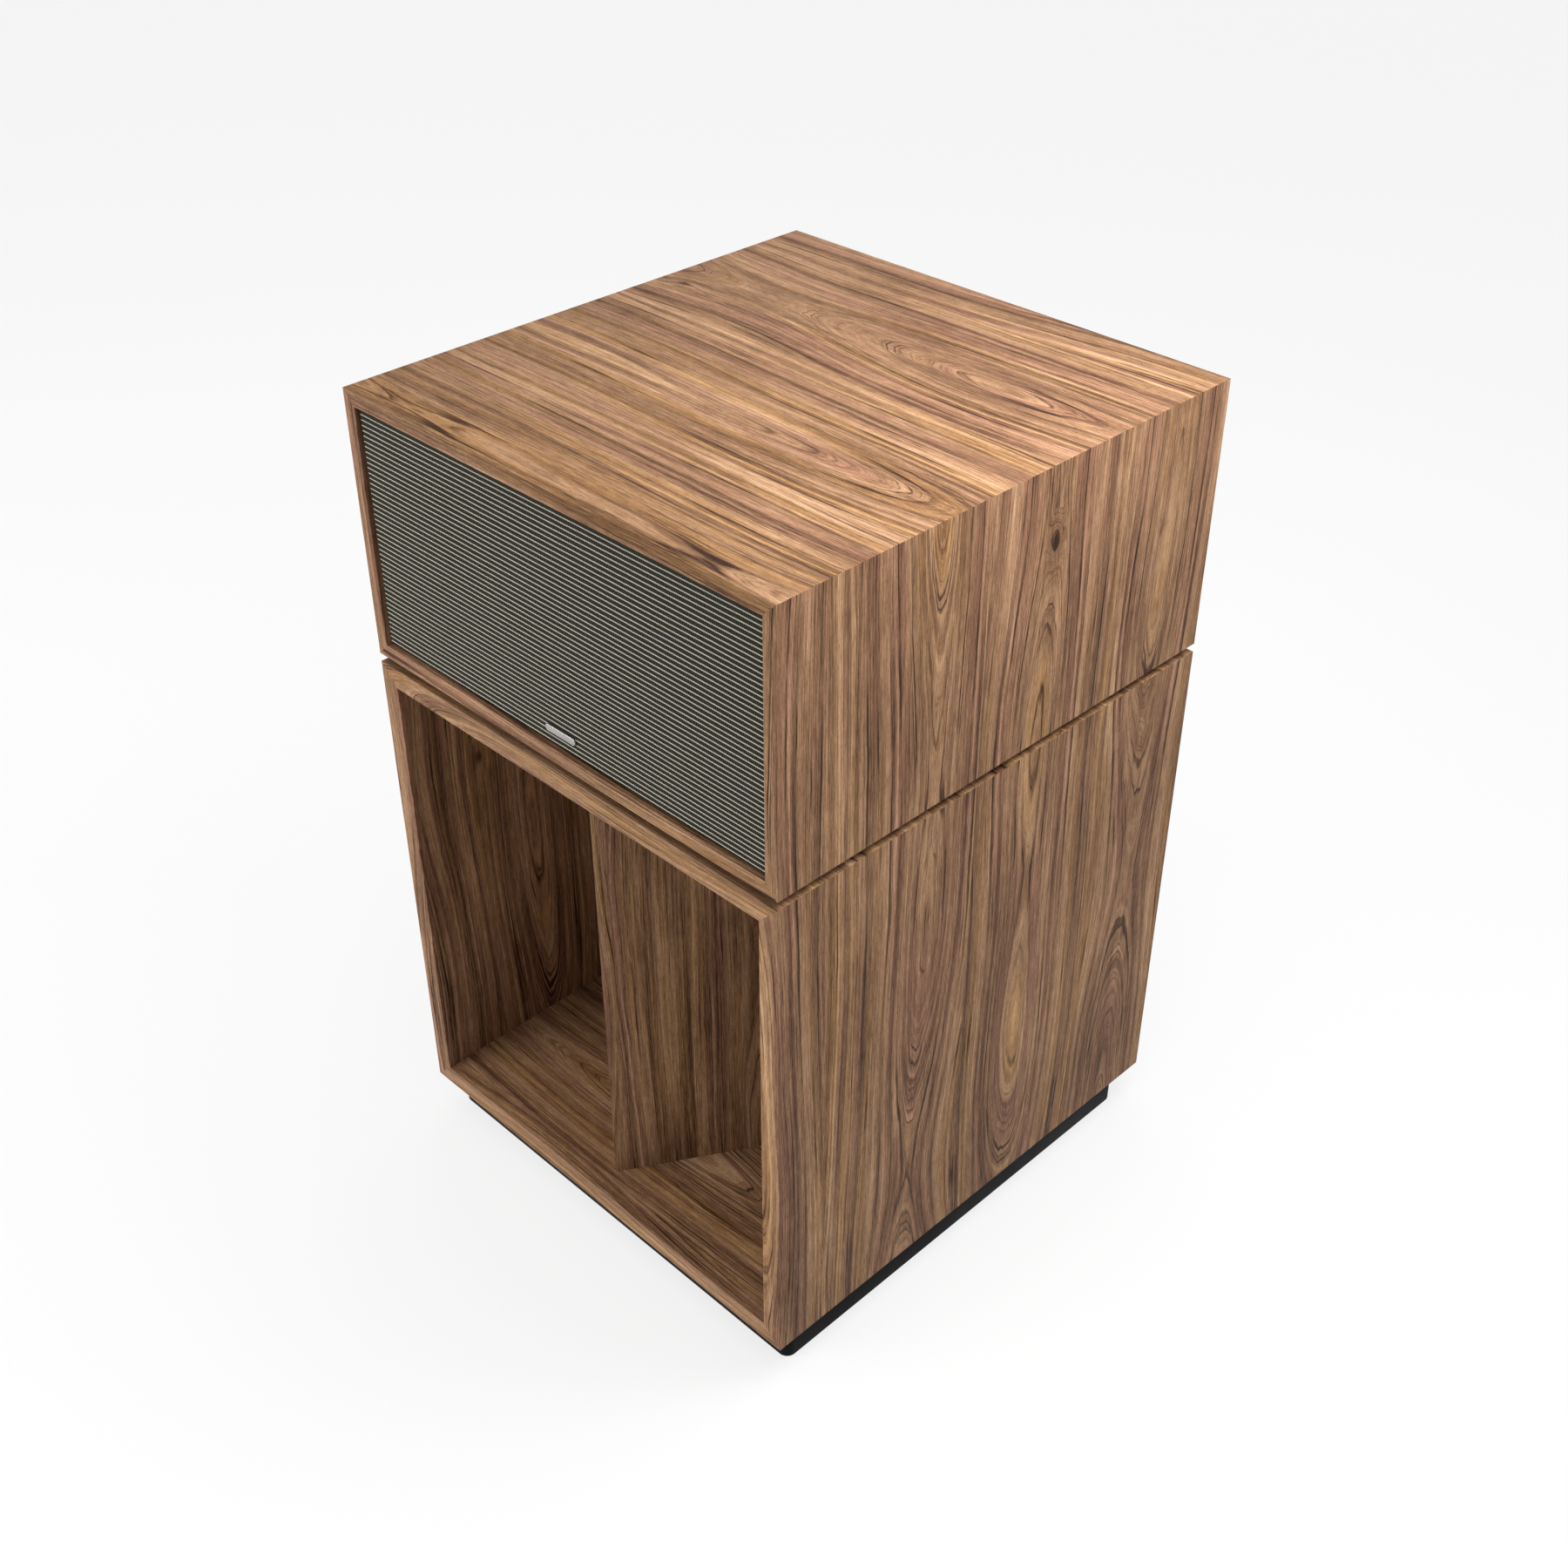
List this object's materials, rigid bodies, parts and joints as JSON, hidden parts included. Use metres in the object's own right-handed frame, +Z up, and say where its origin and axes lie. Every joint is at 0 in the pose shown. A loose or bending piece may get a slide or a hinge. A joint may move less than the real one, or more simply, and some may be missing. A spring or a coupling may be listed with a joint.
{
  "type": "horn loudspeaker",
  "caption": "Floor-standing horn loudspeaker: a grilled upper cabinet on an open folded-horn bass bin with a central wedge, on a recessed plinth",
  "frame": {"origin": "on the floor, under the middle of the cabinets' width and depth", "axes": "-Y is the front that the horns face, +X is to the right of someone who faces the front, +Z is up"},
  "size_m": [0.616, 0.643, 0.985],
  "materials": {
    "walnut": "satin oiled veneer",
    "black_paint": "satin black paint on board",
    "plain_board": "bare board",
    "pad_rubber": "matt",
    "basket_paint": "textured black powder coat",
    "ferrite": "dull grey ceramic magnet",
    "plated_steel": "bright plated",
    "zinc_screw": "zinc plated",
    "spider_cloth": "resin-stiffened woven cloth",
    "surround_cloth": "doped cloth",
    "cone_paper": "pressed paper pulp",
    "copper": "enamelled copper winding",
    "cup_plastic": "fine textured",
    "gold_plate": "bright plated",
    "red_plastic": "gloss",
    "black_plastic": "gloss",
    "wire_red": "extruded insulation",
    "horn_plastic": "moulded satin",
    "driver_paint": "satin black",
    "diaphragm_foil": "thin pressed foil",
    "board_laminate": "glass laminate",
    "capacitor_film": "wrapped film",
    "grille_fabric": "woven horizontal bright threads over a dark ground",
    "badge_metal": "bright brushed"
  },
  "bodies": {
    "bass_bin": {"plinth": "black_paint", "plinth_pads": "pad_rubber", "bin_bottom": "walnut", "bin_top": "walnut", "bin_left_side": "walnut", "bin_right_side": "walnut", "bin_back": "black_paint", "wedge_nose": "walnut", "wedge_left_flank": "walnut", "wedge_right_flank": "walnut", "motorboard": "plain_board", "splitter_boards": "plain_board", "corner_boards": "plain_board", "woofer_basket": "basket_paint", "woofer_gasket": "pad_rubber", "woofer_magnet": "ferrite", "woofer_yoke": "plated_steel", "woofer_spider": "spider_cloth", "woofer_surround": "surround_cloth", "woofer_screws": "zinc_screw", "access_hatch": "plain_board", "hatch_screws": "zinc_screw", "bass_terminal_cup": "cup_plastic", "bass_studs": "gold_plate", "bass_wiring": "wire_red"},
    "woofer_moving_parts": {"woofer_cone": "cone_paper", "dust_cap": "cone_paper", "voice_coil": "copper"},
    "bass_red_cap": {"bass_cap_red": "red_plastic"},
    "bass_black_cap": {"bass_cap_black": "black_plastic"},
    "upper_cabinet": {"riser": "black_paint", "hf_top": "walnut", "hf_bottom": "walnut", "hf_left_side": "walnut", "hf_right_side": "walnut", "hf_back": "black_paint", "hf_screws": "zinc_screw", "hf_baffle": "black_paint", "mid_horn": "horn_plastic", "mid_driver": "driver_paint", "tweeter_horn": "horn_plastic", "tweeter_driver": "driver_paint", "crossover_board": "board_laminate", "crossover_coils": "copper", "crossover_capacitors": "capacitor_film", "hf_terminal_cup": "cup_plastic", "hf_studs": "gold_plate", "jumper_bars": "gold_plate", "hf_wiring": "wire_red", "grille_magnets": "plated_steel"},
    "mid_diaphragm": {"mid_diaphragm": "diaphragm_foil"},
    "tweeter_diaphragm": {"tweeter_diaphragm": "diaphragm_foil"},
    "grille": {"grille_frame": "black_paint", "grille_cloth": "grille_fabric", "grille_keepers": "plated_steel", "badge": "badge_metal"},
    "upper_red_cap": {"hf_cap_upper_red": "red_plastic"},
    "upper_black_cap": {"hf_cap_upper_black": "black_plastic"},
    "lower_red_cap": {"hf_cap_lower_red": "red_plastic"},
    "lower_black_cap": {"hf_cap_lower_black": "black_plastic"}
  },
  "joints": [
    {"name": "woofer_travel", "type": "slide", "parent": "bass_bin", "child": "woofer_moving_parts", "axis": [0, 1, 0], "range_m": [-0.008, 0.008], "stiffness_N_per_m": 2500, "deforming": ["woofer_surround", "woofer_spider"]},
    {"name": "upper_cabinet_lift", "type": "slide", "parent": "bass_bin", "child": "upper_cabinet", "axis": [0, 0, 1], "range_m": [0, 0.15]},
    {"name": "mid_diaphragm_travel", "type": "slide", "parent": "upper_cabinet", "child": "mid_diaphragm", "axis": [0, 1, 0], "range_m": [-0.0005, 0.0005], "stiffness_N_per_m": 30000},
    {"name": "tweeter_diaphragm_travel", "type": "slide", "parent": "upper_cabinet", "child": "tweeter_diaphragm", "axis": [0, 1, 0], "range_m": [-0.0003, 0.0003], "stiffness_N_per_m": 20000},
    {"name": "grille_pull", "type": "slide", "parent": "upper_cabinet", "child": "grille", "axis": [0, -1, 0], "range_m": [0, 0.1]},
    {"name": "bass_red_cap_turn", "type": "hinge", "parent": "bass_bin", "child": "bass_red_cap", "pos_m": [-0.02, 0.304, 0.16], "axis": [0, 1, 0], "range_deg": [0, 720]},
    {"name": "bass_black_cap_turn", "type": "hinge", "parent": "bass_bin", "child": "bass_black_cap", "pos_m": [0.02, 0.304, 0.16], "axis": [0, 1, 0], "range_deg": [0, 720]},
    {"name": "upper_red_cap_turn", "type": "hinge", "parent": "upper_cabinet", "child": "upper_red_cap", "pos_m": [-0.02, 0.304, 0.775], "axis": [0, 1, 0], "range_deg": [0, 720]},
    {"name": "upper_black_cap_turn", "type": "hinge", "parent": "upper_cabinet", "child": "upper_black_cap", "pos_m": [0.02, 0.304, 0.775], "axis": [0, 1, 0], "range_deg": [0, 720]},
    {"name": "lower_red_cap_turn", "type": "hinge", "parent": "upper_cabinet", "child": "lower_red_cap", "pos_m": [-0.02, 0.304, 0.735], "axis": [0, 1, 0], "range_deg": [0, 720]},
    {"name": "lower_black_cap_turn", "type": "hinge", "parent": "upper_cabinet", "child": "lower_black_cap", "pos_m": [0.02, 0.304, 0.735], "axis": [0, 1, 0], "range_deg": [0, 720]}
  ]
}
